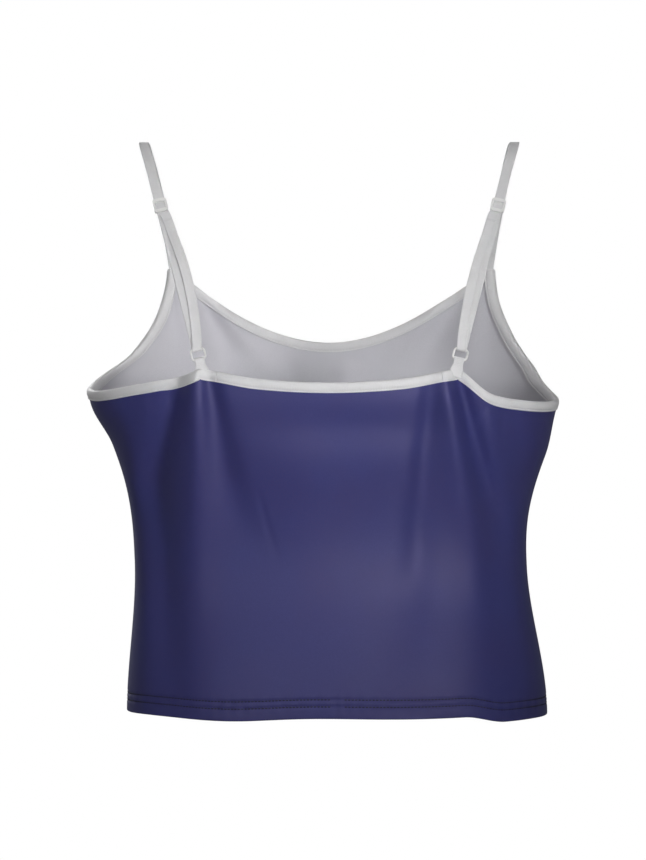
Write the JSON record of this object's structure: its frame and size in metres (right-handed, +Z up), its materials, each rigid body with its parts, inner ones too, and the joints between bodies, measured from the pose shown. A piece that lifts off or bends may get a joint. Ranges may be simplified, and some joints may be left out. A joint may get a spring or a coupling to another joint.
{
  "type": "cheer uniform top",
  "caption": "Cropped cheerleading top in lined stretch knit with bound edges and thin adjustable shoulder straps, in its worn shape.",
  "frame": {"origin": "in the plane of the hem, on the centre line and level with the side seams: the point that the wearer's trunk holds", "axes": "+X to the wearer's left, -Y to the wearer's front, +Z up from the hem to the shoulders"},
  "size_m": [0.3376, 0.2189, 0.4046],
  "materials": {
    "shell_knit": "shiny stretch knit",
    "lining_knit": "matt pale knit",
    "white_binding": "folded binding, soft sheen",
    "edge_elastic": "flat elastic",
    "strap_webbing": "narrow elastic webbing",
    "white_plastic": "moulded white plastic"
  },
  "bodies": {
    "garment": {"front_panel": "shell_knit", "back_panel": "shell_knit", "front_lining": "lining_knit", "back_lining": "lining_knit", "front_neck_binding": "white_binding", "front_neck_elastic": "edge_elastic", "back_neck_binding": "white_binding", "back_neck_elastic": "edge_elastic", "left_armhole_binding": "white_binding", "left_armhole_elastic": "edge_elastic", "left_side_seam": "lining_knit", "right_armhole_binding": "white_binding", "right_armhole_elastic": "edge_elastic", "right_side_seam": "lining_knit"},
    "left_strap_assembly": {"left_strap": "strap_webbing", "left_strap_tail": "strap_webbing", "left_ring_tab": "white_binding"},
    "left_slider_body": {"left_slider": "white_plastic"},
    "left_ring_body": {"left_ring": "white_plastic"},
    "right_strap_assembly": {"right_strap": "strap_webbing", "right_strap_tail": "strap_webbing", "right_ring_tab": "white_binding"},
    "right_slider_body": {"right_slider": "white_plastic"},
    "right_ring_body": {"right_ring": "white_plastic"}
  },
  "joints": [
    {"name": "left_strap_swing", "type": "hinge", "parent": "garment", "child": "left_strap_assembly", "pos_m": [0.088, 0.08867, 0.23864], "axis": [-0.1441, 0.8996, -0.4122], "range_deg": [-20, 60], "deforming": ["left_ring_tab"]},
    {"name": "left_slider_slide", "type": "slide", "parent": "left_strap_assembly", "child": "left_slider_body", "axis": [0.2422, -0.3598, 0.901], "range_m": [-0.09, 0.015], "deforming": ["left_strap_tail"]},
    {"name": "left_ring_pivot", "type": "hinge", "parent": "left_strap_assembly", "child": "left_ring_body", "pos_m": [0.08961, 0.08867, 0.24664], "axis": [0.9702, 0.0898, -0.2249], "range_deg": [-15, 15], "deforming": ["left_strap_tail"]},
    {"name": "right_strap_swing", "type": "hinge", "parent": "garment", "child": "right_strap_assembly", "pos_m": [-0.088, 0.08867, 0.23864], "axis": [-0.1441, -0.8996, 0.4122], "range_deg": [-20, 60], "deforming": ["right_ring_tab"]},
    {"name": "right_slider_slide", "type": "slide", "parent": "right_strap_assembly", "child": "right_slider_body", "axis": [-0.2422, -0.3598, 0.901], "range_m": [-0.09, 0.015], "deforming": ["right_strap_tail"]},
    {"name": "right_ring_pivot", "type": "hinge", "parent": "right_strap_assembly", "child": "right_ring_body", "pos_m": [-0.08961, 0.08867, 0.24664], "axis": [0.9702, -0.0898, 0.2249], "range_deg": [-15, 15], "deforming": ["right_strap_tail"]}
  ]
}
